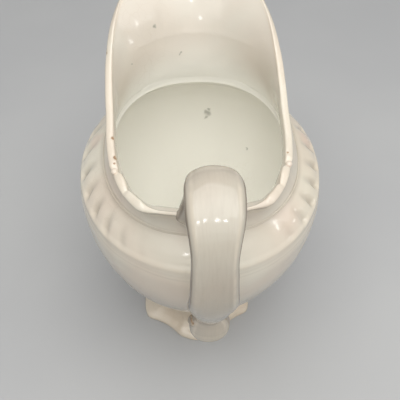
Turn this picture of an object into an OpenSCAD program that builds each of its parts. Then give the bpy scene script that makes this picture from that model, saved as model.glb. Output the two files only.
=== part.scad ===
// Porcelain cream jug: oval bowl on a four-lobed foot, fluted shoulder, open
// helmet spout, and a broad strap handle that rises above the rear rim.
// +Z is up, the spout points along +Y, the handle along -Y, and the foot
// stands on Z = 0 with the jug's vertical centre line at X = 0, Y = 0.

/* [Bowl] */
// Half of the bowl's greatest width, side to side
bowl_half_w = 50; // [46:0.5:54]
// Half of the bowl's greatest length, handle side to spout side
bowl_half_l = 54; // [50:0.5:58]
// Height at which the bowl is widest
bowl_z = 86; // [83:0.5:89]
// Fullness of the bowl's lower half: smaller is fuller
bowl_fullness = 0.95; // [0.8:0.05:1.1]
// Height of the moulded edge where the bowl meets the shoulder
edge_z = 96.5; // [94:0.5:99]
// Wall of the bowl
wall = 3; // [2.4:0.1:3.6]
// Height of the floor inside the bowl
floor_z = 23; // [21:0.5:26]

/* [Neck and spout] */
// Half of the neck's width
neck_half_w = 38; // [35:0.5:40]
// Half of the neck's length
neck_half_l = 43.6; // [40:0.5:46]
// Height of the neck's lower end
neck_z = 106; // [104:0.5:108]
// Height of the rear rim, where the handle grows out of it
rim_z = 120; // [116:0.5:124]
// Height of the middle of the spout's edge
spout_z = 151; // [144:0.5:156]
// How far the spout's edge reaches in front of the centre line
spout_reach = 72.5; // [66:0.5:78]
// How far the trimmed lip sits to the left of the centre line
lip_offset = 1.1; // [0:0.1:1.5]
// Number of flutes around the shoulder
flutes = 32; // [16:16:64]
// Depth of the flutes
flute_depth = 0.9; // [0.2:0.1:1.4]

/* [Foot] */
// Half of the foot's width, across its two broad side lobes
foot_half_w = 27.2; // [26:0.2:29]
// Half of the foot's length, across its front and rear lobes
foot_half_l = 32.6; // [31:0.2:34]
// How far the foot sits to the left of the centre line
foot_offset = 1.6; // [0:0.1:2]
// Radius of the waist between the foot and the bowl
waist_r = 19.5; // [17:0.5:22]
// Height of the waist, where the foot is luted to the bowl
waist_z = 16; // [14:0.5:18]
// Width of the flat ring that the foot stands on
stand_w = 4; // [3:0.5:6]

/* [Handle] */
// How far the back of the handle reaches behind the centre line
handle_reach = 74; // [70:0.5:78]
// Height of the top of the handle's arch
handle_top = 152.5; // [148:0.5:155]
// Thickness of the handle's strap
strap_t = 6.4; // [5.5:0.1:7.5]

/* [Hidden] */
glaze = "#e4dfce";
glaze_shade = "#d8d1bf";

// Points around the jug: four to a flute
steps = 4 * flutes;
turn = 360 / steps;
bead_h = 1.8;
bead_proud = 0.8;
collar_z = neck_z + bead_h;
neck_shift = 3.9;
pad_h = 1;

// ---------- curves ----------
function unit(v) = v / norm(v);
function flat(lists) = [for (l = lists) each l];
// A smooth open curve through the points p; s runs from 0 to len(p) - 1
function through(p, s) =
    let (n = len(p), i = max(min(floor(s), n - 2), 0), t = s - i,
         a = i > 0 ? p[i - 1] : 2 * p[0] - p[1], b = p[i], c = p[i + 1],
         d = i < n - 2 ? p[i + 2] : 2 * p[n - 1] - p[n - 2])
    0.5 * (2 * b + (c - a) * t + (2 * a - 5 * b + 4 * c - d) * t * t
           + (3 * b - a - 3 * c + d) * t * t * t);
// The same on a closed loop of points; s runs from 0 to len(p)
function around(p, s) =
    let (n = len(p), i = floor(s))
    through([for (k = [-1 : 2]) p[(i + k + n) % n]], 1 + s - i);
function signed_power(v, k) = sign(v) * pow(abs(v), k);
// One horizontal oval of the body, [half width, half length, shift along Y, height,
// squareness], at the angle a from +X
function oval(s, a) = [s[0] * signed_power(cos(a), 2 / s[4]),
                       s[2] + s[1] * signed_power(sin(a), 2 / s[4]), s[3]];
function oval_ring(s) = [for (i = [0 : steps - 1]) oval(s, i * turn)];
function grown(s, by) = [s[0] + by, s[1] + by, s[2], s[3], s[4]];
function at_height(s, z) = [s[0], s[1], s[2], z, s[4]];

// ---------- solids made of rings of points ----------
// Side faces between ring j and the next, for rings of n points
function band(n, j, k) =
    flat([for (i = [0 : n - 1]) let (m = (i + 1) % n)
          [[j * n + i, k * n + i, j * n + m], [j * n + m, k * n + i, k * n + m]]]);
// A closed ring-shaped wall: the rings run up outside, over, and down inside
module wall_solid(rings) {
    n = len(rings[0]);
    polyhedron(flat(rings), flat([for (j = [0 : len(rings) - 1])
                                  band(n, j, (j + 1) % len(rings))]));
}
// A closed solid with a flat first and last ring
module capped_solid(rings) {
    n = len(rings[0]);
    last = len(rings) - 1;
    polyhedron(flat(rings),
               concat(flat([for (j = [0 : last - 1]) band(n, j, j + 1)]),
                      [[for (i = [0 : n - 1]) i]],
                      [[for (i = [n - 1 : -1 : 0]) last * n + i]]));
}

// ---------- body ovals ----------
// The bowl swells from the waist to its widest oval as u runs from 0 to 1
function bowl_oval(u, inset, low) =
    let (k = sin(90 * pow(u, bowl_fullness)),
         w = waist_r + (bowl_half_w - waist_r) * k,
         l = waist_r + (bowl_half_l - waist_r) * k)
    [w - inset, l - inset, 3.2 * k, low + (bowl_z - low) * u, 2];
neck_oval = [neck_half_w, neck_half_l, neck_shift, neck_z, 2.3];
edge_oval = [bowl_half_w - 1.6, bowl_half_l - 1.7, 3.4, edge_z, 2.06];
crown_oval = [bowl_half_w - 0.3, bowl_half_l - 0.3, 3.3, (bowl_z + edge_z) / 2, 2.03];
shoulder_ovals = [edge_oval,
                  [bowl_half_w - 4.5, bowl_half_l - 4.6, 3.6, edge_z + 4.2, 2.12],
                  [bowl_half_w - 8.5, bowl_half_l - 7.8, 3.8, edge_z + 7.4, 2.2],
                  neck_oval];

// ---------- foot ----------
// A quarter of the foot's outline, from the middle of the right lobe to the front
foot_quarter = [[foot_half_w, 0], [foot_half_w + 0.2, 8], [foot_half_w, 14],
                [foot_half_w - 1.8, 18.2], [foot_half_w - 6.8, 20.6], [16, 23.2],
                [12.2, foot_half_l - 6], [8.4, foot_half_l - 2.4], [0, foot_half_l]];
foot_half = concat(foot_quarter, [for (i = [7 : -1 : 0]) [-foot_quarter[i][0], foot_quarter[i][1]]]);
foot_outline = concat(foot_half, [for (i = [1 : 15]) -foot_half[i]]);
// One point of the foot: spread runs from 0 at the round waist to 1 at the lobed outline
function foot_point(spread, inset, z, i) =
    let (o = around(foot_outline, i * len(foot_outline) / steps),
         p = unit(o) * (waist_r + spread * (norm(o) - inset - waist_r)))
    [p[0] - spread * foot_offset, p[1], z];
function foot_ring(s) = [for (i = [0 : steps - 1]) foot_point(s[0], s[1], s[2], i)];
foot_outside = [[1, 0, pad_h], [1, 0, 2.2], [0.96, 1.2, 3.6], [0.6, 1.6, 5.6],
                [0.2, 0, 9], [0, 0, 12.5], [0, 0, waist_z]];
well_r = waist_r - 8;
foot_inside = [[0.7, stand_w + 3, 6.4], [1, stand_w + 1.2, 3.4], [1, stand_w, pad_h]];

module foot() {
    // The underside rises to a shallow domed well in the middle
    well = [for (z = [waist_z, 10]) [for (i = [0 : steps - 1])
            well_r * [cos(i * turn), sin(i * turn), 0] + [0, 0, z]]];
    color(glaze_shade) {
        wall_solid(concat([for (s = foot_outside) foot_ring(s)], well,
                          [for (s = foot_inside) foot_ring(s)]));
        linear_extrude(pad_h) difference() {
            polygon([for (p = foot_ring([1, 0, 0])) [p[0], p[1]]]);
            polygon([for (p = foot_ring([1, stand_w, 0])) [p[0], p[1]]]);
        }
    }
}

// ---------- bowl ----------
outside_u = [0, 0.03, 0.09, 0.18, 0.3, 0.44, 0.6, 0.8, 1];
inside_u = [1, 0.8, 0.6, 0.42, 0.26, 0.12, 0.04, 0];

module bowl() {
    outside = concat([for (u = outside_u) bowl_oval(u, 0, waist_z)], [crown_oval, edge_oval]);
    inside = concat([grown(edge_oval, -wall), grown(crown_oval, -wall)],
                    [for (u = inside_u) bowl_oval(u, wall, floor_z)]);
    color(glaze) capped_solid([for (s = concat(outside, inside)) oval_ring(s)]);
}

// ---------- fluted shoulder ----------
// The flutes are full at the sides and front and die away behind the handle
function flute_fade(a) = let (t = min(max((sin(a) + 0.92) / 0.6, 0), 1)) t * t * (3 - 2 * t);
function shoulder_point(s, u, a) =
    oval(grown(s, -flute_depth * sin(180 * u) * flute_fade(a) * (0.5 - 0.5 * cos(flutes * a))), a);
function shoulder_ring(u) =
    [for (i = [0 : steps - 1]) shoulder_point(through(shoulder_ovals, 3 * u), u, i * turn)];

module shoulder() {
    outside = [for (u = [0 : 0.2 : 1]) shoulder_ring(u)];
    inside = [for (u = [1, 0.66, 0.33, 0]) oval_ring(grown(through(shoulder_ovals, 3 * u), -wall))];
    color(glaze) wall_solid(concat(outside, inside));
}

// ---------- bead around the neck ----------
module neck_bead() {
    outside = [for (a = [0 : 45 : 180])
               at_height(grown(neck_oval, bead_proud * sin(a)), neck_z + bead_h * (1 - cos(a)) / 2)];
    inside = [at_height(grown(neck_oval, -wall), collar_z), grown(neck_oval, -wall)];
    color(glaze_shade) wall_solid([for (s = concat(outside, inside)) oval_ring(s)]);
}

// ---------- collar and spout ----------
// Half of the lip, every 15 degrees from the rear rim to the spout: side, forward, height
lip_half = [[0, -42.8, rim_z], [11.5, -42.2, rim_z], [21, -39.2, rim_z],
            [27.6, -31, rim_z + 0.3], [31.2, -21.8, rim_z + 0.8], [33.2, -9.5, rim_z + 2],
            [34, 3, rim_z + 4.5], [34.4, 14.5, rim_z + 7.5], [34, 27, spout_z - 19.5],
            [31.6, 41, spout_z - 13.5], [25.8, spout_reach - 18.5, spout_z - 7.5],
            [15.4, spout_reach - 6, spout_z - 2.5], [0, spout_reach, spout_z]];
lip_mirror = function(p) [-p[0], p[1], p[2]];
lip_path = concat([lip_mirror(lip_half[1])], lip_half, [lip_mirror(lip_half[11])]);
function lip(a) =
    let (b = (a + 90) % 360, right = b <= 180, h = (right ? b : 360 - b) / 15,
         p = through(lip_path, h + 1))
    (right ? p : lip_mirror(p)) - [lip_offset, 0, 0];
// How far the wall leans out just under the lip: most at the spout
function lean(a) = 1 + (sin(a) > 0 ? 17.5 : -3) * pow(sin(a), 3);
// The collar's outside, from the neck (v = 0) to the lip (v = 1)
function collar(a, v) =
    let (top = lip(a), low = at_height(neck_oval, collar_z), p = oval(low, a),
         out = [cos(a), sin(a), 0], rise = [0, 0, top[2] - collar_z],
         q = p - 2.2 * out + 0.34 * rise, r = top - lean(a) * out - 0.3 * rise, w = 1 - v)
    w * w * w * p + 3 * w * w * v * q + 3 * w * v * v * r + v * v * v * top;
function climb(a, v) = unit(collar(a, v + 0.02) - collar(a, v - 0.02));
function outward(a, v) =
    unit(cross(collar(a + 1, v) - collar(a - 1, v), climb(a, v)));
function inner_wall(a, v) =
    v == 0 ? oval(at_height(grown(neck_oval, -wall), collar_z), a)
           : collar(a, v) - wall * outward(a, v);
// The lip is rounded over: t turns from the outside (0) to the inside (180)
function lip_round(a, t) =
    collar(a, 1) - wall / 2 * (1 - cos(t)) * outward(a, 1) + wall / 2 * sin(t) * climb(a, 1);

module collar_spout() {
    around = [for (i = [0 : steps - 1]) i * turn];
    outside = [for (v = [0, 0.15, 0.3, 0.45, 0.6, 0.8]) [for (a = around) collar(a, v)]];
    rounded = [for (t = [0 : 45 : 180]) [for (a = around) lip_round(a, t)]];
    inside = [for (v = [0.8, 0.6, 0.4, 0.2, 0]) [for (a = around) inner_wall(a, v)]];
    color(glaze) wall_solid(concat(outside, rounded, inside));
}

// ---------- scrolls on the rim ----------
// A small knuckle lies on each side of the lip, where the spout's edge ends
scroll_angle = -30;
scroll_r = 1.4;
scroll_lift = 0.6;
scroll_half_turn = 1.4;

module rim_scrolls() {
    color(glaze)
        for (a = [scroll_angle, 180 - scroll_angle])
            hull() for (d = [-scroll_half_turn, scroll_half_turn])
                translate(lip_round(a + d, 90) + [0, 0, scroll_lift]) sphere(scroll_r, $fn = 16);
}

// ---------- handle ----------
// The middle of the strap, from the rear rim to the bowl:
// back, height, width, thickness, drift to the right
back = strap_t / 2 - handle_reach;
top = handle_top - strap_t / 2;
strap_path = [[-40.6, rim_z + 1.4, 22, strap_t + 0.6, -0.4], [-41, rim_z + 7, 17.6, strap_t + 0.4, -0.4],
              [-42.4, rim_z + 16, 16, strap_t + 0.4, -0.4], [-46.2, top - 3.4, 15.6, strap_t, -0.4],
              [-53.6, top, 17, strap_t, -0.4], [-62, top - 3.2, 16.2, strap_t, -0.6],
              [back + 2.8, top - 11.5, 13.4, strap_t, -1.1], [back, top - 24.5, 14.4, strap_t, -1],
              [back + 0.8, 113, 15.8, strap_t, -0.8], [back + 5.3, 99, 15.6, strap_t, -0.5],
              [back + 11.4, 85, 14, strap_t, -0.1], [-52.6, 71, 12.8, strap_t, 0.4],
              [-48.8, 62, 12.6, strap_t, 0.8]];
terminal_path = [[-48.8, 62, 12.6, strap_t, 0.8], [-46.4, 56, 12.8, strap_t + 0.6, 1.1],
                 [-45.4, 51.5, 16, strap_t + 2.6, 1.3], [-44.6, 46, 17.8, strap_t + 5.4, 1.4],
                 [-43.4, 41, 16.8, strap_t + 7.4, 1.4], [-38.8, 35.6, 11, strap_t + 3, 1.3]];
strap_corners = 16;

// One cross-section of a strap, square to its path, a rounded oblong
function strap_ring(path, s) =
    let (p = through(path, s), q = through(path, s + 0.02), r = through(path, s - 0.02),
         along = unit([q[0] - r[0], q[1] - r[1]]))
    [for (i = [0 : strap_corners - 1])
     let (a = (i + 0.5) * 360 / strap_corners,
          x = p[2] / 2 * signed_power(cos(a), 0.62), d = p[3] / 2 * signed_power(sin(a), 0.62))
     [x + p[4], p[0] - d * along[1], p[1] + d * along[0]]];

module strap(path, count) {
    last = len(path) - 1;
    capped_solid([for (i = [0 : count]) strap_ring(path, last * i / count)]);
}

module handle() {
    color(glaze_shade) strap(strap_path, 36);
}

module handle_terminal() {
    color(glaze_shade) strap(terminal_path, 15);
}

foot();
bowl();
shoulder();
neck_bead();
collar_spout();
rim_scrolls();
handle();
handle_terminal();
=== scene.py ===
"""Porcelain cream jug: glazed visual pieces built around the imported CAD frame.

Lengths in this script are millimetres until a mesh is made, then metres.
+Z is up, the spout points along +Y and the handle along -Y.
"""

import math

import bpy
import numpy as np
from mathutils import Matrix, Vector


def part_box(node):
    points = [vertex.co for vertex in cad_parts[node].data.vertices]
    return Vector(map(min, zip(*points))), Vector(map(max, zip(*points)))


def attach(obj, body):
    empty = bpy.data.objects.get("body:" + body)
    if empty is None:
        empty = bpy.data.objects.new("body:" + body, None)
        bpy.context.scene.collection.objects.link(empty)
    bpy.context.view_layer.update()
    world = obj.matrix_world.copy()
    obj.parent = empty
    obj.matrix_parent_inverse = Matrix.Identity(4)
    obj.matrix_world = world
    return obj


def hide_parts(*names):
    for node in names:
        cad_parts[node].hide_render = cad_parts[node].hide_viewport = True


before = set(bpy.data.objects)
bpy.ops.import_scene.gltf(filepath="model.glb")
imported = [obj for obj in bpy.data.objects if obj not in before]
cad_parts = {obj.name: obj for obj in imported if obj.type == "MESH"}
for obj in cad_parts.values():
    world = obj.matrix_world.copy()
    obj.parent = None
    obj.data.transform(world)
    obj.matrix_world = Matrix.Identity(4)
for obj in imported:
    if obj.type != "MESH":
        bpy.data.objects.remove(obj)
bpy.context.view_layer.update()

MM = 0.001
AROUND = 512  # points in each ring around the jug
STRAP_AROUND = 96  # points around the handle
TURN = np.arange(AROUND) * 2 * math.pi / AROUND
NUDGE = 0.01  # the short step over which a surface's direction is measured

# How many rings make each surface
BOWL_OUT, BOWL_IN = 130, 60
SHOULDER_OUT, SHOULDER_IN = 40, 30
BEAD_OUT = 33
COLLAR_UP, LIP_OVER = 60, 25
STRAP_LONG, TERMINAL_LONG = 260, 80
FOOT_OUT, FOOT_IN = 90, 50


def box_mm(node):
    """Lowest and highest corner of a CAD node, in millimetres."""
    low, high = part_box(node)
    return np.array(low) / MM, np.array(high) / MM


# ---------- driving sizes, read from the frame ----------
BOWL_LOW, BOWL_HIGH = box_mm("bowl")
BEAD_LOW, BEAD_HIGH = box_mm("neck_bead")
FOOT_LOW, FOOT_HIGH = box_mm("foot")
HANDLE_LOW, HANDLE_HIGH = box_mm("handle")

WAIST_Z, EDGE_Z = BOWL_LOW[2], BOWL_HIGH[2]  # the bowl's foot, and the moulded edge at its top
HALF_W = BOWL_HIGH[0]
HALF_L = (BOWL_HIGH[1] - BOWL_LOW[1]) / 2
SHIFT = (BOWL_HIGH[1] + BOWL_LOW[1]) / 2  # how far forward the middle of the widest oval lies
WIDEST_Z = EDGE_Z - 10.5
FULLNESS = 0.95  # below 1 the bowl swells out sooner above its waist
WAIST_R = 19.5
WALL = 3.0
FLOOR_Z = WAIST_Z + 7  # the bowl's floor, inside

BEAD_PROUD = 0.8
NECK_Z, COLLAR_Z = BEAD_LOW[2], BEAD_HIGH[2]  # the neck bead's foot and top
NECK_W = BEAD_HIGH[0] - BEAD_PROUD
NECK_L = (BEAD_HIGH[1] - BEAD_LOW[1]) / 2 - BEAD_PROUD
NECK_SHIFT = (BEAD_HIGH[1] + BEAD_LOW[1]) / 2
NECK_SQUARE = 2.3  # 2 is a plain oval, and more is squarer

RIM_Z = COLLAR_Z + 12.2  # the rear rim
SPOUT_Z = RIM_Z + 31  # the spout's tip
SPOUT_REACH = 72.5
LIP_OFFSET = 1.1  # how far the hand-trimmed lip leans to the left


# ---------- curves ----------
def smooth(t):
    """0 below 0, 1 above 1, and an even S between."""
    t = np.clip(t, 0, 1)
    return t * t * (3 - 2 * t)


def hump(t):
    """1 at 0, falling smoothly to 0 at -1 and 1."""
    return 1 - smooth(np.abs(t))


def through(points, s):
    """A smooth open curve through the points; s runs from 0 to len(points) - 1."""
    p = np.asarray(points, float)
    p = np.vstack([2 * p[0] - p[1], p, 2 * p[-1] - p[-2]])
    s = np.atleast_1d(np.asarray(s, float))
    i = np.clip(np.floor(s).astype(int), 0, len(p) - 4)
    t = (s - i)[:, None]
    a, b, c, d = p[i], p[i + 1], p[i + 2], p[i + 3]
    return 0.5 * (2 * b + (c - a) * t + (2 * a - 5 * b + 4 * c - d) * t**2
                  + (3 * b - a - 3 * c + d) * t**3)


def around(points, s):
    """The same on a closed loop of points; s runs from 0 to len(points)."""
    p = np.asarray(points, float)
    wrapped = np.vstack([p[-2:], p, p[:3]])
    return through(wrapped, np.asarray(s) + 2)


def signed_power(v, k):
    return np.sign(v) * np.abs(v) ** k


def unit(v):
    return v / np.linalg.norm(v, axis=-1, keepdims=True)


def flat_out(angle):
    """Level directions straight out from the middle, one row for each angle."""
    return np.column_stack([np.cos(angle), np.sin(angle)])


def oval(station, angle):
    """Points of one horizontal oval: half width, half length, shift, height, squareness."""
    half_w, half_l, shift, z, square = station
    x = half_w * signed_power(np.cos(angle), 2 / square)
    y = shift + half_l * signed_power(np.sin(angle), 2 / square)
    return np.stack([x, y, np.full_like(x, z)], axis=-1)


# Directions, paces and phases of the waves that make the unevenness of hand work
WAVES = [((0.9, 0.3, 0.3), 1.0, 0.4), ((-0.4, 0.8, 0.45), 1.23, 2.1), ((0.1, -0.5, 0.86), 0.81, 4.0),
         ((0.7, -0.7, 0.15), 1.61, 5.2), ((-0.6, -0.2, 0.77), 1.37, 1.3)]
WAVE_GAIN = 1.6  # the waves seldom peak together, so their mean is scaled up to about 1


def wander(points, size):
    """A smooth, repeatable unevenness from about -1 to 1, with swells `size` mm long."""
    total = sum(np.sin(points @ np.array(way) * pace * 2 * math.pi / size + phase)
                for way, pace, phase in WAVES)
    return total / len(WAVES) * WAVE_GAIN


def handmade(points, swell_mm, swell_size, ripple_mm, ripple_size):
    """The unevenness of a hand-finished surface: broad swells with shorter ripples on them."""
    return swell_mm * wander(points, swell_size) + ripple_mm * wander(points, ripple_size)


# ---------- meshes ----------
def add_object(name, data):
    made = bpy.data.objects.new(name, data)
    bpy.context.scene.collection.objects.link(made)
    return made


def make_piece(name, points, faces, marks, sharp_deg=50):
    """A mesh object; marks gives each point a value the glaze reads by name."""
    mesh = bpy.data.meshes.new(name)
    mesh.from_pydata((np.asarray(points) * MM).tolist(), [], faces)
    mesh.validate()
    mesh.shade_smooth()
    mesh.set_sharp_from_angle(angle=math.radians(sharp_deg))
    for mark, values in marks.items():
        layer = mesh.attributes.new(mark, "FLOAT", "POINT")
        layer.data.foreach_set("value", np.clip(values, 0, 1).astype(np.float32))
    return add_object(name, mesh)


def band_faces(n, j, k):
    """Quads between ring j and ring k, for rings of n points."""
    return [(j * n + i, j * n + (i + 1) % n, k * n + (i + 1) % n, k * n + i) for i in range(n)]


class Rings:
    """Rings of points from one end of a solid to the other, with marks for the glaze.

    pool: glaze ran thick, and painted shade in creases, under the rim and the handle's foot.
    thin: worn along an edge.  chip: bitten out.  bare: never glazed.
    inside: painted light, a lighter copy of the cream inside the jug.
    shaded: painted shade, low on the body and at the top of the spout's inside.
    """

    MARKS = ("pool", "thin", "chip", "bare", "inside", "shaded")

    def __init__(self):
        self.rings = []
        self.marks = {mark: [] for mark in self.MARKS}

    def add(self, ring, **values):
        self.rings.append(ring)
        for mark in self.MARKS:
            self.marks[mark].append(np.zeros(len(ring)) + values.get(mark, 0.0))

    def joined_marks(self, extra=0):
        return {mark: np.concatenate(rows + [np.zeros(extra)]) for mark, rows in self.marks.items()}

    def wall(self, name):
        """A closed ring-shaped wall: the rings run up outside, over, and down inside."""
        n, count = len(self.rings[0]), len(self.rings)
        faces = [f for j in range(count) for f in band_faces(n, j, (j + 1) % count)]
        return make_piece(name, np.concatenate(self.rings), faces, self.joined_marks())

    def capped(self, name):
        """A closed solid from its first ring to its last, both fanned to their middles."""
        n, count = len(self.rings[0]), len(self.rings)
        middles = [self.rings[0].mean(0), self.rings[-1].mean(0)]
        points = np.concatenate(self.rings + [np.array(middles)])
        first, last, top = n * count, n * count + 1, n * (count - 1)
        faces = [f for j in range(count - 1) for f in band_faces(n, j, j + 1)]
        faces += [(first, (i + 1) % n, i) for i in range(n)]
        faces += [(last, top + i, top + (i + 1) % n) for i in range(n)]
        return make_piece(name, points, faces, self.joined_marks(extra=2))


# ---------- body outline ----------
def bowl_station(u, thickness=0.0, low=WAIST_Z):
    """The bowl swells from the waist (u = 0) to its widest oval (u = 1), less a wall's thickness."""
    k = math.sin(math.pi / 2 * u**FULLNESS)
    half_w = WAIST_R + (HALF_W - WAIST_R) * k - thickness
    half_l = WAIST_R + (HALF_L - WAIST_R) * k - thickness
    return [half_w, half_l, SHIFT * k, low + (WIDEST_Z - low) * u, 2]


def inset(station, by):
    """The same oval, drawn in all round."""
    return [station[0] - by, station[1] - by] + station[2:]


CROWN = [HALF_W - 0.3, HALF_L - 0.3, SHIFT + 0.1, WIDEST_Z + 5.25, 2.03]
EDGE = [HALF_W - 1.6, HALF_L - 1.7, SHIFT + 0.2, EDGE_Z, 2.06]
SHOULDER = [EDGE,
            [HALF_W - 4.5, HALF_L - 4.6, SHIFT + 0.4, EDGE_Z + 4.2, 2.12],
            [HALF_W - 8.5, HALF_L - 7.8, SHIFT + 0.6, EDGE_Z + 7.4, 2.2],
            [NECK_W, NECK_L, NECK_SHIFT, NECK_Z, NECK_SQUARE]]
BOWL_U = [0, 0.03, 0.08, 0.15, 0.24, 0.34, 0.46, 0.6, 0.75, 0.88, 1]
OUTSIDE = [bowl_station(u) for u in BOWL_U] + [CROWN] + SHOULDER
EDGE_S = len(BOWL_U) + 1  # where the edge lies along OUTSIDE
NECK_S = len(OUTSIDE) - 1

FLUTES = 32
FLUTE_DEPTH = 1.25
FLUTE_CREASE = 2.4  # a higher power makes narrower creases between rounder flutes
FLUTE_BELOW, FLUTE_ABOVE = 0.6, 8.8  # how far the flutes reach below and above the edge
EDGE_ROLL = 0.35  # how far the moulded edge stands proud
FINE_LINES = [2.6, 4.4]  # how far the fine turned lines lie below the edge
FINE_LINE_DEPTH = 0.035
PAINTED_SHADE_UNDER_TERMINAL = (1.4, -38, 39)  # painted shade below the handle's foot


def flute_fade(angle):
    """Flutes are full at the sides and front and die away behind the handle."""
    return smooth((np.sin(angle) + 0.97) / 0.5)


def flute_crease(z, angle):
    """From 0 on the crown of a flute to 1 in the crease between two, at a height."""
    along = smooth((z - EDGE_Z + FLUTE_BELOW) / 2.6) * smooth((EDGE_Z + FLUTE_ABOVE - z) / 6)
    slant = angle + 0.02 * np.sin(3 * angle + 1) + 0.006 * (z - EDGE_Z)
    return along * flute_fade(angle) * (0.5 - 0.5 * np.cos(FLUTES * slant)) ** FLUTE_CREASE


def fine_lines(z, half_width):
    """1 on each fine turned line under the edge, 0 beyond half its width."""
    return sum(hump((z - (EDGE_Z - low)) / half_width) for low in FINE_LINES)


def edge_relief(z):
    """The moulded edge of the shoulder and the fine turned lines under it."""
    return EDGE_ROLL * hump((z - EDGE_Z) / 2.2) - FINE_LINE_DEPTH * fine_lines(z, 0.6)


def edge_wear(z):
    """The glaze is thin along the moulded edge."""
    return 0.7 * hump((z - EDGE_Z) / 1.4)


def shade_below(z):
    """Painted shade: the body is darker and greyer low down, 0 near the edge, 1 at the waist."""
    return smooth((EDGE_Z - 4 - z) / 50)


def from_rear(angle):
    """Degrees around from the middle of the rear rim, the same on both sides."""
    turned = np.degrees(angle + math.pi / 2) % 360
    return np.minimum(turned, 360 - turned)


def seam_show(angle):
    """How strongly the seams at the neck's foot show: they are worn smooth behind the handle."""
    return 1 - 0.8 * hump(from_rear(angle) / 75)


def near(points, centre, radius):
    """1 at a centre, falling smoothly to 0 a radius away."""
    return hump(np.linalg.norm(points - np.array(centre), axis=-1) / radius)


def body_pool_and_shade(ring, z, crease, angle):
    """Darker in the creases and lines, at both ends of the body and below the handle's foot: pooled glaze
    and painted shade.
    """
    pool = 0.9 * crease + 0.25 * fine_lines(z, 0.7)
    pool = pool + 0.9 * hump((z - WAIST_Z) / 2.5) + 0.7 * hump((z - NECK_Z) / 1.6) * seam_show(angle)
    return pool + 0.8 * near(ring, PAINTED_SHADE_UNDER_TERMINAL, 12)


def body_ring(s, angle=TURN):
    """One ring of the body's outside at place s along OUTSIDE, and where glaze pools on it."""
    station = through(OUTSIDE, s)[0]
    ahead = through(OUTSIDE, min(s + NUDGE, NECK_S))[0]
    behind = through(OUTSIDE, max(s - NUDGE, 0))[0]
    z = station[3]
    ring = oval(station, angle)
    rise = oval(ahead, angle) - oval(behind, angle)
    along = np.roll(ring, -1, axis=0) - np.roll(ring, 1, axis=0)
    normal = unit(np.cross(along, rise))
    crease = flute_crease(z, angle)
    free = smooth((z - WAIST_Z - 1) / 6) * smooth((NECK_Z - 0.3 - z) / 2)  # the ends meet other pieces
    relief = edge_relief(z) + free * handmade(ring, 0.14, 46, 0.05, 15) - FLUTE_DEPTH * crease
    return ring + normal * relief[:, None], body_pool_and_shade(ring, z, crease, angle)


# ---------- bowl ----------
HOLLOW_U = [0, 0.02, 0.06, 0.14, 0.28, 0.45, 0.65, 0.85, 1]  # heights up the bowl's inside


def build_bowl():
    solid = Rings()
    for s in np.linspace(0, EDGE_S, BOWL_OUT):
        ring, pool = body_ring(s)
        z = ring[0, 2]
        # Painted shade darkens the body low down
        solid.add(ring, pool=pool, thin=edge_wear(z), shaded=shade_below(z))
    inside = [bowl_station(u, WALL, FLOOR_Z) for u in HOLLOW_U]
    inside += [inset(CROWN, WALL), inset(EDGE, WALL)]
    for s in np.linspace(len(inside) - 1, 0, BOWL_IN):
        ring = oval(through(inside, s)[0], TURN)
        ring[:, 2] += 0.1 * wander(ring, 30)
        # Painted light: the inside takes a lighter copy of the cream
        solid.add(ring, inside=1)
    return solid.capped("glazed_bowl")


# ---------- shoulder ----------
def build_shoulder():
    """The band from the moulded edge to the neck; inside, it rounds a corner up into the neck."""
    solid = Rings()
    for s in np.linspace(EDGE_S, NECK_S, SHOULDER_OUT):
        ring, pool = body_ring(s)
        solid.add(ring, pool=pool, thin=edge_wear(ring[0, 2]))
    edge, low, high, neck = [inset(station, WALL) for station in SHOULDER]
    corner = neck[:3] + [NECK_Z - 1.6, NECK_SQUARE]
    path = [edge, low, inset(high, 0.5), corner, neck]
    for s in np.linspace(len(path) - 1, 0, SHOULDER_IN):
        # Painted light: the inside takes a lighter copy of the cream
        solid.add(oval(through(path, s)[0], TURN), inside=1)
    return solid.wall("glazed_shoulder")


# ---------- neck bead ----------
FILLET_PROUD = 0.65


def neck_oval(z, inset_by=0.0, angle=TURN):
    return oval([NECK_W - inset_by, NECK_L - inset_by, NECK_SHIFT, z, NECK_SQUARE], angle)


def build_bead():
    """Two fine rounded fillets, one above the other, around the neck."""
    height = COLLAR_Z - NECK_Z
    show = seam_show(TURN)
    solid = Rings()
    for t in np.linspace(0, 1, BEAD_OUT):
        swell = abs(math.sin(2 * math.pi * t)) ** 0.6
        ring = neck_oval(NECK_Z + height * t)
        ring[:, :2] += (FILLET_PROUD * swell * show)[:, None] * flat_out(TURN)
        solid.add(ring, pool=(1 - swell) * show, thin=0.4 * swell)
    for t in (1, 0.66, 0.33, 0):
        # Painted light: the inside takes a lighter copy of the cream
        solid.add(neck_oval(NECK_Z + height * t, WALL), inside=1)
    return solid.wall("glazed_neck_bead")


# ---------- collar and spout ----------
LIP_STEP_DEG = 15
# Half of the lip, a point every LIP_STEP_DEG from the rear rim to the spout: side, forward, height
LIP_HALF = [[0, -42.8, RIM_Z], [11.5, -42.2, RIM_Z], [21, -39.2, RIM_Z], [27.6, -31, RIM_Z + 0.3],
            [31.2, -21.8, RIM_Z + 0.8], [33.2, -9.5, RIM_Z + 2], [34, 3, RIM_Z + 4.5],
            [34.4, 14.5, RIM_Z + 7.5], [34, 27, SPOUT_Z - 19.5], [31.6, 41, SPOUT_Z - 13.5],
            [25.8, SPOUT_REACH - 18.5, SPOUT_Z - 7.5], [15.4, SPOUT_REACH - 6, SPOUT_Z - 2.5],
            [0, SPOUT_REACH, SPOUT_Z]]
MIRROR = np.array([-1, 1, 1])
LIP_PATH = [LIP_HALF[1] * MIRROR] + LIP_HALF + [LIP_HALF[-2] * MIRROR]
KNUCKLE_DEG = 60  # from the middle of the rear rim round to where the spout's edge begins
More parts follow.
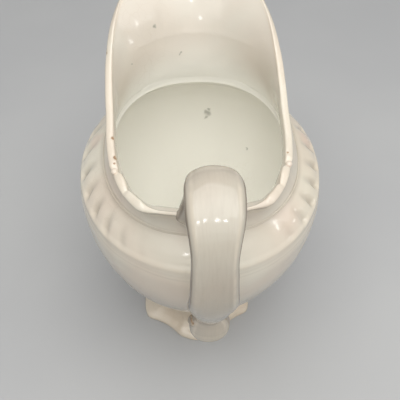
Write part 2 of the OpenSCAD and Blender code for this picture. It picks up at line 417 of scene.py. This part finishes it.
NOTCH_DEG = 45  # to the soft notch that parts the rear rim's two lobes on each side
BACK_THINNING = 1.9  # how much thinner the rim is behind the handle
SPOUT_STEP = 0.5  # how far the spout's edge starts outside the rear rim
NECK_LINES = [0.6, 0.76]  # the two fine turned lines round the neck, from its foot (0) to the lip (1)
SPOUT_LEAN, REAR_LEAN = 17.5, -3.0  # how much further the wall leans out at the spout and at the rear


def rim_swell(angle):
    """The rear rim stands up in soft lobes with a notch between them, in millimetres."""
    d = from_rear(angle)
    return (0.35 * hump((d - 52.5) / 6) + 0.45 * hump((d - 33) / 11)
            - 0.5 * hump((d - NOTCH_DEG) / 3.2) - 0.7 * hump((d - KNUCKLE_DEG) / 4))


def behind_handle(angle):
    """1 where the rim thins to a plain edge on each side of the handle, 0 along its lobes."""
    return 1 - smooth((from_rear(angle) - 22) / 12)


def lip(angle):
    """The outer edge of the lip; the spout's edge starts a step outside the rear rim."""
    turned = np.degrees(angle + math.pi / 2) % 360
    right = turned <= 180
    p = through(LIP_PATH, np.where(right, turned, 360 - turned) / LIP_STEP_DEG + 1)
    p[~right, 0] *= -1
    d = from_rear(angle)
    stepped = smooth((d - KNUCKLE_DEG - 1) / 3) * (1 - smooth((d - 70) / 22))
    slide = SPOUT_STEP * stepped - BACK_THINNING * behind_handle(angle)
    p[:, :2] += slide[:, None] * flat_out(angle)
    p[:, 0] -= LIP_OFFSET
    p[:, 2] += 0.8 * rim_swell(angle)
    return p


def lean(angle):
    """How far the wall leans out just under the lip."""
    s = np.sin(angle)
    return 1 + np.where(s > 0, SPOUT_LEAN, REAR_LEAN) * s**3


def collar(angle, v):
    """The collar's outside from the neck (v = 0) to the lip (v = 1), as a Bezier curve."""
    top = lip(angle)
    low = neck_oval(COLLAR_Z, angle=angle)
    level = 0 * angle
    out = np.stack([np.cos(angle), np.sin(angle), level], axis=-1)
    rise = np.stack([level, level, top[:, 2] - COLLAR_Z], axis=-1)
    above_low = low - 2.2 * out + 0.34 * rise
    below_top = top - lean(angle)[:, None] * out - 0.3 * rise
    w = 1 - v
    return w**3 * low + 3 * w * w * v * above_low + 3 * w * v * v * below_top + v**3 * top


def climb(angle, v):
    """The way up the collar's outside."""
    return unit(collar(angle, v + NUDGE) - collar(angle, v - NUDGE))


def outward(angle, v):
    """The way straight out of the collar's outside."""
    round_it = collar(angle + NUDGE, v) - collar(angle - NUDGE, v)
    return unit(np.cross(round_it, climb(angle, v)))


def rim_thickness(angle):
    """The rolled rim is thick in its lobes and thins at the knuckle and behind the handle."""
    return WALL + 0.1 + rim_swell(angle) - BACK_THINNING * behind_handle(angle)


def inner_wall(angle, v):
    """The collar's inside, a wall's thickness in, which meets the rim's own thickness at the lip."""
    if v == 0:
        return neck_oval(COLLAR_Z, WALL, angle)
    thick = WALL + (rim_thickness(angle) - WALL) * smooth((v - 0.6) / 0.4)
    return collar(angle, v) - thick[:, None] * outward(angle, v)


def lip_round(angle, t):
    """The lip turns over with a worn, flattened top: t runs from the outside (0) to the inside (pi)."""
    half = (rim_thickness(angle) / 2)[:, None]
    across = 1 - signed_power(math.cos(t), 0.7)
    up = 0.85 * max(math.sin(t), 0) ** 0.75
    return collar(angle, 1) - half * across * outward(angle, 1) + half * up * climb(angle, 1)


CHIP_DEPTH = 0.35
CREASE_Z = 128  # the height of the faint crease across the inside of the spout
# Chips on the lip: angle in degrees, turn over the lip in degrees, radius
LIP_CHIPS = [(192.5, 140, 1.3), (203, 145, 1.6), (206, 110, 0.8), (148, 60, 0.8),
             (336, 120, 1.0), (97, 90, 0.7)]


def chipped(points):
    """How deep in a chip each point lies: 0 on whole glaze, 1 in the middle of a chip."""
    depth = np.zeros(len(points))
    for angle_deg, turn_deg, radius in LIP_CHIPS:
        angle = np.array([math.radians(angle_deg)])
        centre = lip_round(angle, math.radians(turn_deg))[0]
        ragged = radius + 0.25 * radius * wander(points, 2.1)
        depth = np.maximum(depth, near(points, centre, ragged))
    return depth


def neck_line_fade(angle):
    """The fine lines run round the sides of the neck and die out by the handle and the spout."""
    d = from_rear(angle)
    return smooth((d - 24) / 24) * (1 - smooth((d - 80) / 40))


def neck_rows(v, half_width, above=0.0):
    """1 on the neck's fine lines, or a little above them, 0 beyond half their width."""
    return sum(hump((v - row - above) / half_width) for row in NECK_LINES) * neck_line_fade(TURN)


def away_from_ends(v):
    """1 up the middle of the wall, easing to 0 at the neck and at the lip."""
    return smooth(v / 0.15) * smooth((1 - v) / 0.2)


def add_collar_outside(solid):
    """Up the outside, with the fine lines standing proud, glaze pooled above each of them, and painted
    shadow under the rim.
    """
    for v in np.linspace(0, 1, COLLAR_UP)[:-1]:
        ring = collar(TURN, v)
        lines = neck_rows(v, 0.045)
        relief = away_from_ends(v) * handmade(ring, 0.1, 38, 0.04, 13) + 0.32 * lines
        seam = 0.9 * hump(v / 0.05) * seam_show(TURN)
        # Painted shadow on the neck just under the rim
        painted_shadow_under_rim = 0.35 * hump((v - 0.93) / 0.12) * neck_line_fade(TURN)
        pool = seam + 0.8 * neck_rows(v, 0.05, above=0.06) + painted_shadow_under_rim
        solid.add(ring + outward(TURN, v) * relief[:, None], pool=pool, thin=0.5 * lines)


def add_lip(solid):
    """Over the lip, worn thin on top, bitten by chips and brown along both its edges."""
    tuck = -0.1 * outward(TURN, 1)
    for t in np.linspace(0, math.pi, LIP_OVER):
        ring = lip_round(TURN, t)
        bite = chipped(ring)
        thin = 0.75 * hump((t - math.pi / 2) / 1.5) + 0.25 * wander(ring, 9)
        edge_lines = hump((t - 2.8) / 0.42) + 0.7 * hump((t - 0.2) / 0.4)
        sunk = np.array([0, 0, CHIP_DEPTH]) * bite[:, None]
        solid.add(ring + tuck - sunk, thin=thin, chip=bite, pool=edge_lines)


def add_collar_inside(solid):
    """The inside wall has a faint crease across the spout, painted light low down and a little painted
    shade towards its lip.
    """
    for v in np.linspace(1, 0, COLLAR_UP)[1:]:
        ring = inner_wall(TURN, v)
        crease = hump((ring[:, 2] - CREASE_Z) / 1.6) * smooth((ring[:, 1] - 34) / 8)
        push = away_from_ends(v) * handmade(ring, 0.12, 34, 0.04, 12) + 0.1 * crease
        up = smooth(v / 0.5)
        solid.add(ring - outward(TURN, max(v, 0.02)) * push[:, None], pool=0.12 * crease,
                  chip=chipped(ring), inside=1 - 0.75 * up, shaded=0.3 * up)


def build_collar():
    solid = Rings()
    add_collar_outside(solid)
    add_lip(solid)
    add_collar_inside(solid)
    return solid.wall("glazed_spout_collar")


# ---------- knuckles on the rim ----------
KNUCKLE_LENGTH, KNUCKLE_R = 1.3, 1.25  # half its length along the lip, and its radius


def knuckle_rings(side):
    """Rings along one small worn knuckle on the lip, where the spout's edge ends, at an angle."""
    turn = np.linspace(0, 2 * math.pi, 33)[:-1]
    centre = lip_round(np.array([side]), math.pi / 2)[0] + [0, 0, 0.25]
    along = unit(lip(np.array([side + 0.03]))[0] - lip(np.array([side - 0.03]))[0])
    across = unit(np.cross(along, [0, 0, 1]))
    up = np.cross(across, along)
    section = np.cos(turn)[:, None] * across + 0.85 * np.sin(turn)[:, None] * up
    return [centre + KNUCKLE_LENGTH * math.cos(a) * along + KNUCKLE_R * math.sin(a) ** 0.9 * section
            for a in np.linspace(0, math.pi, 25)[1:-1]]


def build_scrolls():
    points, faces = [], []
    for side in (math.radians(270 - KNUCKLE_DEG), math.radians(270 + KNUCKLE_DEG)):
        rings = knuckle_rings(side)
        base, n, last = len(points), len(rings[0]), len(rings) - 1
        bands = [f for j in range(last) for f in band_faces(n, j, j + 1)]
        ends = [tuple(range(n - 1, -1, -1)), tuple(n * last + i for i in range(n))]
        faces += [tuple(base + i for i in f) for f in bands + ends]
        points += np.concatenate(rings).tolist()
    marks = {mark: np.zeros(len(points)) for mark in Rings.MARKS}
    marks["thin"] += 0.9
    marks["pool"] = 0.6 * hump((np.array(points)[:, 2] - RIM_Z - 1.2) / 1.2)
    return make_piece("glazed_rim_scrolls", points, faces, marks)


# ---------- handle ----------
STRAP_T = 6.4
BACK = HANDLE_LOW[1] + STRAP_T / 2
TOP = HANDLE_HIGH[2] - STRAP_T / 2
DRIFT = -0.4  # the strap's upper half stands this far to the left
# Sections from the rim to the terminal, and down the terminal: the middle's place along Y and
# its height, then the width, the thickness and how far to the right it stands
STRAP = [[-38.6, RIM_Z - 11.5, 8, 1.4, DRIFT], [-39.6, RIM_Z - 6.5, 13, 3.6, DRIFT],
         [-40.2, RIM_Z - 1.5, 21.2, 4.6, DRIFT], [-41, RIM_Z + 3, 19.8, STRAP_T, DRIFT],
         [-41.6, RIM_Z + 8.5, 17.4, 7, DRIFT], [-42.6, RIM_Z + 16, 16, 6.8, DRIFT],
         [-46.2, TOP - 3.4, 15.6, 6.5, DRIFT], [-53.6, TOP, 17, STRAP_T, DRIFT],
         [-62, TOP - 3.2, 16.2, STRAP_T, -0.6], [BACK + 2.8, TOP - 11.5, 13.4, STRAP_T, -1.1],
         [BACK, TOP - 24.5, 14.4, STRAP_T, -1], [BACK + 0.8, 113, 15.8, STRAP_T, -0.8],
         [BACK + 5.3, 99, 15.6, STRAP_T, -0.5], [BACK + 11.4, 85, 14, STRAP_T, -0.1],
         [-52.6, 71, 12.8, STRAP_T, 0.4], [-48.8, 62, 12.6, STRAP_T, 0.8]]
TERMINAL = [STRAP[-1], [-46.4, 56, 12.8, 7, 1.1], [-45.4, 51.5, 16, 9, 1.3],
            [-44.6, 46, 17.8, 11.8, 1.4], [-43.4, 41, 16.8, 13.8, 1.4], [-38.8, 35.6, 11, 9.4, 1.3]]
CREST_S, SWELL_S = 6.2, 10.2  # where along STRAP its crest lies, and where it starts to swell low down
BRUSH_RIPPLE = 0.014
# A lump of clay squeezed out where the handle's foot was luted on, cracked around its edge
LUMP, LUMP_R, LUMP_PROUD = (-7, -46, 52.5), 4.2, 1.7

# Angles of the points around a section of the strap
SECTION = (np.arange(STRAP_AROUND) + 0.5) * 2 * math.pi / STRAP_AROUND
OUTER = np.where(np.sin(SECTION) < 0, 1.0, 0.0)  # 1 on the strap's outer face, 0 on its inner


def strap_roundness(s):
    """The strap's section is a full round at its crest and again where it swells low down."""
    return np.maximum(hump((s - CREST_S) / 2.6), smooth((s - SWELL_S) / 1.6))


def strap_arch(s):
    """How far the strap's edges curl in towards the jug, in millimetres."""
    low = 2.4 * smooth((s - SWELL_S) / 1.8) * (1 - 0.7 * smooth((s - 13.5) / 1.5))
    return 0.6 * hump((s - CREST_S) / 2.6) + low


def strap_section(s, width, thick, full, arch):
    """Points of a rounded oblong: sideways, inwards, and how far out towards an edge (0 to 1).

    Its outer face has soft raised edges where it isn't full, and fine brush ripples where it is.
    """
    corner = 0.62 + 0.33 * full
    x = width / 2 * signed_power(np.cos(SECTION), corner)
    d = thick / 2 * signed_power(np.sin(SECTION), corner)
    across = np.abs(x) / (width / 2)
    raised_edge = hump((across - 0.74) / 0.2) - 0.9 * hump(across / 0.66)
    ripple = BRUSH_RIPPLE * full * np.sin(23 * s - 2.4 * across**2)
    return x, d - OUTER * (0.3 * (1 - full) * raised_edge + ripple) + arch * across**2, across


def strap_rings(path, count, roundness, arch):
    """Rings along a path of sections, with the glaze pooled brown down both edges."""
    solid = Rings()
    last = len(path) - 1
    for s in np.linspace(0, last, count):
        y, z, width, thick, drift = through(path, s)[0]
        along = unit((through(path, s + 0.02) - through(path, s - 0.02))[0, :2])
        x, d, across = strap_section(s, width, thick, roundness(s), arch(s))
        ring = np.stack([x + drift, y - d * along[1], z + d * along[0]], axis=-1)
        away = unit(ring - ring.mean(0))
        ring = ring + away * handmade(ring, 0.16, 27, 0.05, 9)[:, None]
        lump = near(ring, LUMP, LUMP_R)
        ring = ring + away * (LUMP_PROUD * lump * (1 + 0.4 * wander(ring, 3.4)))[:, None]
        end = hump(s / 1.4) + hump((last - s) / 0.5)
        solid.add(ring, pool=smooth((across - 0.9) / 0.07) + 0.8 * end + 0.6 * lump,
                  thin=0.6 * OUTER * hump((across - 0.78) / 0.12), chip=0.9 * hump((lump - 0.45) / 0.22))
    return solid


def build_handle():
    return strap_rings(STRAP, STRAP_LONG, strap_roundness, strap_arch).capped("glazed_handle")


def build_terminal():
    solid = strap_rings(TERMINAL, TERMINAL_LONG, lambda s: 0.9, lambda s: 0.7 - 0.14 * s)
    return solid.capped("glazed_handle_terminal")


# ---------- foot ----------
FOOT_HALF_W = (FOOT_HIGH[0] - FOOT_LOW[0]) / 2 - 0.2
FOOT_HALF_L = FOOT_HIGH[1]
FOOT_OFFSET = -(FOOT_HIGH[0] + FOOT_LOW[0]) / 2
STAND_W = 4.0  # the width of the flat ring it stands on
# A quarter of the foot's outline, from the middle of the right lobe to the front
FOOT_QUARTER = np.array([[FOOT_HALF_W, 0], [FOOT_HALF_W + 0.2, 8], [FOOT_HALF_W, 14],
                         [FOOT_HALF_W - 1.8, 18.2], [FOOT_HALF_W - 6.8, 20.6], [16, 23.2],
                         [12.2, FOOT_HALF_L - 6], [8.4, FOOT_HALF_L - 2.4], [0, FOOT_HALF_L]])
FOOT_HALF = np.vstack([FOOT_QUARTER, FOOT_QUARTER[-2::-1] * [-1, 1]])
FOOT_OUTLINE = np.vstack([FOOT_HALF, -FOOT_HALF[1:-1]])
FOOT_PLACES = np.arange(AROUND) * len(FOOT_OUTLINE) / AROUND


def foot_ring(spread, inward, z):
    """Spread runs from 0 at the round waist to 1 at the lobed outline."""
    outline = around(FOOT_OUTLINE, FOOT_PLACES)
    reach = np.linalg.norm(outline, axis=-1, keepdims=True)
    p = outline / reach * (WAIST_R + spread * (reach - inward - WAIST_R))
    return np.column_stack([p[:, 0] - spread * FOOT_OFFSET, p[:, 1], np.full(AROUND, z)])


# Spread, inset and height of the foot's surface, from its standing ring up to the waist
FOOT_OUTSIDE = [[1, 0.6, 0], [1, 0.1, 0.5], [1, 0, 1.3], [1, 0.3, 2.3], [0.99, 1.1, 3], [0.95, 1.9, 3.5],
                [0.78, 2.2, 4.4], [0.5, 1.8, 6.2], [0.2, 0, 9.4], [0.04, 0, 12.5], [0, 0, 14.6],
                [0, -0.3, WAIST_Z]]
FOOT_INSIDE = [[1, STAND_W - 0.5, 0], [1, STAND_W, 0.8], [1, STAND_W + 1.2, 3.2], [0.7, STAND_W + 3, 6.4],
               [0.3, 6, 8.6], [-0.4, 0, 10], [-0.6, 0, 13], [-0.7, 0, WAIST_Z]]


def build_foot():
    solid = Rings()
    for s in np.linspace(0, len(FOOT_OUTSIDE) - 1, FOOT_OUT):
        spread, inward, z = through(FOOT_OUTSIDE, s)[0]
        ring = foot_ring(spread, inward, max(z, 0))
        free = smooth((z - 1) / 2) * smooth((WAIST_Z - 1 - z) / 3)
        ring[:, 2] += free * handmade(ring, 0.15, 24, 0.05, 8)
        solid.add(ring, bare=1 - smooth((z - 0.3) / 0.6), thin=0.7 * hump((z - 2.4) / 1.1),
                  pool=0.8 * hump((z - WAIST_Z) / 3) + 0.4 * hump((z - 8) / 4))
    for s in np.linspace(len(FOOT_INSIDE) - 1, 0, FOOT_IN):
        spread, inward, z = through(FOOT_INSIDE, s)[0]
        solid.add(foot_ring(spread, inward, max(z, 0)), bare=1 - smooth((z - 0.5) / 1.2))
    return solid.wall("glazed_foot")


# ---------- materials ----------
class Shader:
    """Adds nodes to one material with short calls."""

    def __init__(self, name):
        self.material = bpy.data.materials.new(name)
        self.material.use_nodes = True
        self.tree = self.material.node_tree
        self.surface = self.tree.nodes["Principled BSDF"]
        self.place = self.add("ShaderNodeTexCoord").outputs["Object"]

    def add(self, kind, inputs=(), **settings):
        node = self.tree.nodes.new(kind)
        for key, value in settings.items():
            setattr(node, key, value)
        for socket, value in dict(inputs).items():
            if isinstance(value, bpy.types.NodeSocket):
                self.tree.links.new(value, node.inputs[socket])
            else:
                node.inputs[socket].default_value = value
        return node

    def math(self, operation, a, b):
        return self.add("ShaderNodeMath", {0: a, 1: b}, operation=operation).outputs[0]

    def times(self, a, b):
        return self.math("MULTIPLY", a, b)

    def plus(self, a, b):
        return self.math("ADD", a, b)

    def vector(self, operation, a, b):
        return self.add("ShaderNodeVectorMath", {0: a, 1: b}, operation=operation).outputs[0]

    def noise(self, scale, detail=2.0, rough=0.5, place=None):
        inputs = {"Vector": place or self.place, "Scale": scale, "Detail": detail, "Roughness": rough}
        return self.add("ShaderNodeTexNoise", inputs).outputs["Fac"]

    def span(self, value, low, high, to_low=0.0, to_high=1.0):
        """A smooth step of value from low to high."""
        inputs = {"Value": value, "From Min": low, "From Max": high, "To Min": to_low, "To Max": to_high}
        return self.add("ShaderNodeMapRange", inputs, interpolation_type="SMOOTHSTEP").outputs["Result"]

    def mark(self, name):
        return self.add("ShaderNodeAttribute", attribute_name=name).outputs["Fac"]

    def blend(self, amount, colour_a, colour_b):
        colours = [c if isinstance(c, bpy.types.NodeSocket) else (*c, 1) for c in (colour_a, colour_b)]
        inputs = {0: amount, 6: colours[0], 7: colours[1]}
        return self.add("ShaderNodeMix", inputs, data_type="RGBA").outputs[2]

    def shifted(self, amount, scale):
        """The place, pushed about by noise so that edges drawn from it are ragged."""
        noise = self.add("ShaderNodeTexNoise", {"Vector": self.place, "Scale": scale}).outputs["Color"]
        centred = self.vector("SUBTRACT", noise, (0.5, 0.5, 0.5))
        push = self.vector("MULTIPLY", centred, (amount, amount, amount))
        return self.vector("ADD", self.place, push)

    def spot(self, centre_mm, radius_mm, place):
        """1 in the middle of a ragged spot on the object, 0 outside it."""
        centre = tuple(c * MM for c in centre_mm)
        inputs = {0: place, 1: centre}
        distance = self.add("ShaderNodeVectorMath", inputs, operation="DISTANCE").outputs["Value"]
        return self.span(distance, radius_mm * MM, 0.25 * radius_mm * MM)


CREAM = (0.76, 0.71, 0.60)
CREAM_WARM = (0.735, 0.64, 0.53)
HANDLE_SHADED_CREAM = (0.52, 0.48, 0.40)  # a darker copy of the cream for the handle: painted shade
# The same painted shade on the handle's foot, a little lighter
TERMINAL_SHADED_CREAM = (0.57, 0.52, 0.44)
# Warm patches on the handle's darker copy, painted shade as well
HANDLE_SHADED_WARM = (0.51, 0.445, 0.365)
FOOT_CREAM, FOOT_WARM = (0.74, 0.65, 0.53), (0.68, 0.55, 0.43)
KNUCKLE_CREAM, KNUCKLE_WARM = (0.76, 0.67, 0.59), (0.74, 0.61, 0.52)
POOLED_AND_SHADE = (0.33, 0.28, 0.21)  # where the glaze ran thick, and painted shade in creases and under things
OUTLINE = (0.20, 0.16, 0.12)  # the darker line down the handle's edges
PAINTED_LIGHT_INSIDE = (0.94, 0.925, 0.85)  # a lighter copy of the cream for the jug's inside: painted light
SHADED = (0.45, 0.41, 0.345)  # painted shade, low on the body and at the top of the spout's inside
WORN_EDGE = (0.72, 0.64, 0.52)
IRON = (0.16, 0.10, 0.06)  # specks in the glaze
TEA = (0.52, 0.42, 0.30)  # stain in cracks and bare clay
BISQUE = (0.70, 0.60, 0.48)  # bare clay
BITTEN = (0.30, 0.17, 0.09)  # stained clay in the chips
PINKISH = (0.72, 0.55, 0.45)
GREEN_GREY = (0.27, 0.27, 0.22)

GLAZE_IOR = 1.52
ALONG_STRAP = (1, 0.12, 0.12)  # draws a pattern out lengthwise, in the handle's own plane
GLOSSY, DULLER = 0.10, 0.17  # the glaze's roughness at its smoothest and where it is a little dull
# Heights of the surface's relief, in metres
SWELLS, ORANGE_PEEL, PITS, GRAIN = 0.00016, 0.000022, -0.00003, 0.00012


def body_tone(g, cream, warm, brushed):
    """Cream with warm patches and yellower clouds, and on the handle faint lengthwise streaks."""
    colour = g.blend(g.span(g.noise(26, 3), 0.36, 0.64), cream, warm)
    clouds = g.times(g.span(g.noise(11, 2), 0.42, 0.66), 0.45)
    colour = g.blend(clouds, colour, (0.95 * cream[0], 0.95 * cream[1], 0.88 * cream[2]))
    if brushed:
        drawn_out = g.vector("MULTIPLY", g.place, ALONG_STRAP)
        streaks = g.times(g.span(g.noise(1300, 3, 0.6, drawn_out), 0.4, 0.75), brushed)
        colour = g.blend(streaks, colour, tuple(0.8 * c for c in warm))
    return colour


def glaze_depth_light_and_shade(g, colour, thin, pooling_and_shade, pooled_and_shade):
    """Brown where the glaze ran thick, with painted shade in creases and under things; painted light
    inside; painted shade low down; worn along edges.
    """
    pool = g.times(g.mark("pool"), g.span(g.noise(120, 3), 0.2, 0.7, 0.5 * pooling_and_shade, pooling_and_shade))
    colour = g.blend(pool, colour, pooled_and_shade)
    colour = g.blend(g.times(g.mark("inside"), 0.95), colour, PAINTED_LIGHT_INSIDE)
    colour = g.blend(g.times(g.mark("shaded"), 0.8), colour, SHADED)
    return g.blend(thin, colour, WORN_EDGE)


def craze_lines(g, crazing):
    """A fine net of cracks in the glaze, in patches."""
    inputs = {"Vector": g.shifted(0.0016, 420), "Scale": 230.0}
    cells = g.add("ShaderNodeTexVoronoi", inputs, feature="DISTANCE_TO_EDGE").outputs["Distance"]
    patches = g.span(g.noise(17, 2), 0.46, 0.64)
    return g.times(g.span(cells, 0.035, 0.0), g.times(patches, crazing))


def iron_specks(g):
    """Small dark dots, in a few of the cells of a fine pattern."""
    specks = g.add("ShaderNodeTexVoronoi", {"Vector": g.place, "Scale": 75.0})
    rare = g.span(specks.outputs["Color"], 0.70, 0.72)
    return g.times(g.span(specks.outputs["Distance"], 0.030, 0.014), rare)


def add_stains(g, colour, stains):
    """Ragged old spots on the glaze."""
    ragged = g.shifted(0.004, 260)
    for centre, radius, strength, tint in stains:
        colour = g.blend(g.times(g.spot(centre, radius, ragged), strength), colour, tint)
    return colour


def add_bare_clay(g, colour, bare, chip):
    """Unglazed clay on the standing ring, and stained clay in the chips."""
    colour = g.blend(bare, colour, g.blend(g.span(g.noise(90, 4), 0.35, 0.6), BISQUE, TEA))
    bitten = g.blend(g.span(g.noise(700, 2), 0.4, 0.6), BITTEN, TEA)
    return g.blend(g.span(chip, 0.15, 0.6), colour, bitten)


def surface_roughness(g, thin, bare, chip):
    """Glossy glaze, a little duller where it is rubbed and matt where there is none."""
    rough = g.span(g.noise(60, 4, 0.6), 0.35, 0.7, GLOSSY, DULLER)
    rubbed = g.times(thin, 0.10)
    unglazed = g.times(g.math("MAXIMUM", bare, g.span(chip, 0.1, 0.5)), 0.6)
    return g.plus(g.plus(rough, rubbed), unglazed)


def surface_bump(g, sunk, bare):
    """Slow swells and a fine orange peel in the glaze, pits where it is sunk, and grain where bare."""
    glaze = g.plus(g.times(g.noise(95, 1), SWELLS), g.times(g.noise(520, 2), ORANGE_PEEL))
    grain = g.times(g.times(g.noise(2600, 3), bare), GRAIN)
    height = g.plus(glaze, g.plus(g.times(sunk, PITS), grain))
    return g.add("ShaderNodeBump", {"Height": height, "Distance": 1.0, "Strength": 1.0}).outputs["Normal"]


def glaze_material(name, cream, warm, stains=(), pooling_and_shade=0.6, crazing=0.15, brushed=0.0, pooled_and_shade=POOLED_AND_SHADE):
    """A thin clear glaze over a cream body, with pooled glaze, painted shade, painted light, crazing, iron
    specks and old stains.
    """
    g = Shader(name)
    bare, chip = g.mark("bare"), g.mark("chip")
    thin = g.times(g.mark("thin"), g.span(g.noise(210, 3), 0.3, 0.6, 0.3, 0.8))
    cracks, dots = craze_lines(g, crazing), iron_specks(g)

    colour = glaze_depth_light_and_shade(g, body_tone(g, cream, warm, brushed), thin, pooling_and_shade, pooled_and_shade)
    colour = g.blend(cracks, colour, TEA)
    colour = g.blend(g.times(dots, 0.75), colour, IRON)
    colour = add_bare_clay(g, add_stains(g, colour, stains), bare, chip)

    shader = g.surface.inputs
    g.tree.links.new(colour, shader["Base Color"])
    g.tree.links.new(surface_roughness(g, thin, bare, chip), shader["Roughness"])
    g.tree.links.new(surface_bump(g, g.plus(dots, cracks), bare), shader["Normal"])
    shader["IOR"].default_value = GLAZE_IOR
    return g.material


# Old marks on the glaze: place in millimetres, radius, strength, tint
BOWL_STAINS = [((7, 53, 78.3), 2.4, 0.6, GREEN_GREY), ((6.2, 51.8, 75.8), 1.5, 0.7, GREEN_GREY),
               ((8.2, 53.4, 80.6), 1.1, 0.6, GREEN_GREY), ((26.2, 40, 65), 1.0, 0.8, GREEN_GREY)]
SPOUT_STAINS = [((-15.7, 46.4, 132.6), 0.9, 0.7, GREEN_GREY), ((-6, 44.7, 119.9), 0.8, 0.7, GREEN_GREY),
                ((-25.9, 34.1, 123.8), 0.8, 0.7, GREEN_GREY)]
SHOULDER_STAINS = [((44.5, 10, 100.6), 6, 0.6, PINKISH), ((-42.7, 12.2, 102.7), 6, 0.4, PINKISH),
                   ((30, -30, 101), 9, 0.25, PINKISH)]

PLAIN = dict(cream=CREAM, warm=CREAM_WARM)
STRAP_GLAZE = dict(warm=HANDLE_SHADED_WARM, brushed=0.22, pooled_and_shade=OUTLINE)
# For each CAD node: what builds its visual piece, its material slot and its glaze
PIECES = {
    "foot": (build_foot, "foot_glaze", dict(cream=FOOT_CREAM, warm=FOOT_WARM, pooling_and_shade=0.5, crazing=0.3)),
    "bowl": (build_bowl, "bowl_glaze", dict(PLAIN, stains=BOWL_STAINS)),
    "shoulder": (build_shoulder, "shoulder_glaze", dict(PLAIN, stains=SHOULDER_STAINS)),
    "neck_bead": (build_bead, "bead_glaze", dict(PLAIN, pooling_and_shade=0.8)),
    "collar_spout": (build_collar, "spout_glaze", dict(PLAIN, stains=SPOUT_STAINS)),
    "rim_scrolls": (build_scrolls, "scroll_glaze", dict(cream=KNUCKLE_CREAM, warm=KNUCKLE_WARM)),
    "handle": (build_handle, "handle_glaze", dict(STRAP_GLAZE, cream=HANDLE_SHADED_CREAM, pooling_and_shade=0.95)),
    "handle_terminal": (build_terminal, "terminal_glaze", dict(STRAP_GLAZE, cream=TERMINAL_SHADED_CREAM, pooling_and_shade=0.6)),
}

for node, (build, slot, glaze) in PIECES.items():
    piece = build()
    piece.data.materials.append(glaze_material(slot, **glaze))
    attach(piece, "root")
    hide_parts(node)


# ---------- camera, floor and lights ----------
CAMERA_AZIMUTH, CAMERA_ELEVATION, CAMERA_ROLL = map(math.radians, (-4.6, 52.1, 1.0))
CAMERA_DISTANCE, CAMERA_AIM = 0.238, Vector((0, 0, 0.0757))
LENS, SENSOR = 48.7, 36
FLOOR_HALF = 4.0
FLOOR_TONES = (0.43, 0.43, 0.43), (0.46, 0.46, 0.455)
LIGHT_AIM = Vector((0, 0, 0.09))
WHITE, WARM_WHITE, SKY = (1, 1, 1), (1.0, 0.985, 0.96), (0.92, 0.96, 1.0)
AMBIENT = 0.21
# Elliptical lights, aimed at the jug: azimuth from +Y (90 is +X) and elevation in degrees,
# distance, width and height in metres, power in watts, and tint.
# The key is two nested discs, which give its reflection in the glaze a soft edge.
LIGHTS = {
    "key_0": (181, 60, 1.0, 1.1, 1.1, 4.3, WARM_WHITE),
    "key_1": (181, 60, 1.0, 1.7, 1.7, 5.3, WARM_WHITE),
    "overhead": (180, 87, 0.8, 1.0, 1.0, 4.9, WHITE),
    "left_lamp": (193, 33, 0.9, 0.05, 0.03, 0.12, WHITE),
    "low_window": (98, 8, 0.9, 0.10, 0.03, 0.10, WHITE),
    "right_fill": (100, 35, 1.0, 0.6, 0.6, 1.1, WHITE),
    "lamp": (178, 50, 0.75, 0.05, 0.03, 0.2, WHITE),
    "right_window": (112, 26, 0.8, 0.05, 0.07, 0.12, WHITE),
}


def add_camera():
    """The camera looks down over the handle, from the view the jug was seen in."""
    flat = math.cos(CAMERA_ELEVATION)
    back = Vector((math.sin(CAMERA_AZIMUTH) * flat, -math.cos(CAMERA_AZIMUTH) * flat,
                   math.sin(CAMERA_ELEVATION)))
    data = bpy.data.cameras.new("camera")
    data.lens, data.sensor_width = LENS, SENSOR
    data.clip_start = 0.01
    camera = add_object("camera", data)
    turn = (-back).to_track_quat("-Z", "Y").to_matrix() @ Matrix.Rotation(CAMERA_ROLL, 3, "Z")
    camera.matrix_world = Matrix.Translation(CAMERA_AIM + back * CAMERA_DISTANCE) @ turn.to_4x4()
    bpy.context.scene.camera = camera


def add_floor():
    half = FLOOR_HALF
    corners = [(-half, -half, 0), (half, -half, 0), (half, half, 0), (-half, half, 0)]
    mesh = bpy.data.meshes.new("floor")
    mesh.from_pydata(corners, [], [(0, 1, 2, 3)])
    g = Shader("pale_floor")
    tone = g.blend(g.span(g.noise(7, 3), 0.3, 0.7), *FLOOR_TONES)
    g.tree.links.new(tone, g.surface.inputs["Base Color"])
    g.surface.inputs["Roughness"].default_value = 0.75
    mesh.materials.append(g.material)
    add_object("floor", mesh)


def add_light(name, azimuth_deg, elevation_deg, distance, width, height, power, tint):
    azimuth, elevation = math.radians(azimuth_deg), math.radians(elevation_deg)
    flat = math.cos(elevation)
    away = Vector((flat * math.sin(azimuth), flat * math.cos(azimuth), math.sin(elevation)))
    data = bpy.data.lights.new(name, "AREA")
    data.shape = "ELLIPSE"
    data.size, data.size_y = width, height
    data.energy = power
    data.color = tint
    light = add_object(name, data)
    light.location = LIGHT_AIM + away * distance
    light.rotation_euler = (-away).to_track_quat("-Z", "Y").to_euler()


def add_world():
    world = bpy.data.worlds.new("studio")
    world.use_nodes = True
    background = world.node_tree.nodes["Background"].inputs
    background["Color"].default_value = (*SKY, 1)
    background["Strength"].default_value = AMBIENT
    bpy.context.scene.world = world


add_camera()
add_floor()
for name, settings in LIGHTS.items():
    add_light(name, *settings)
add_world()
bpy.context.scene.view_settings.view_transform = "Standard"  # shows the glaze colours as given
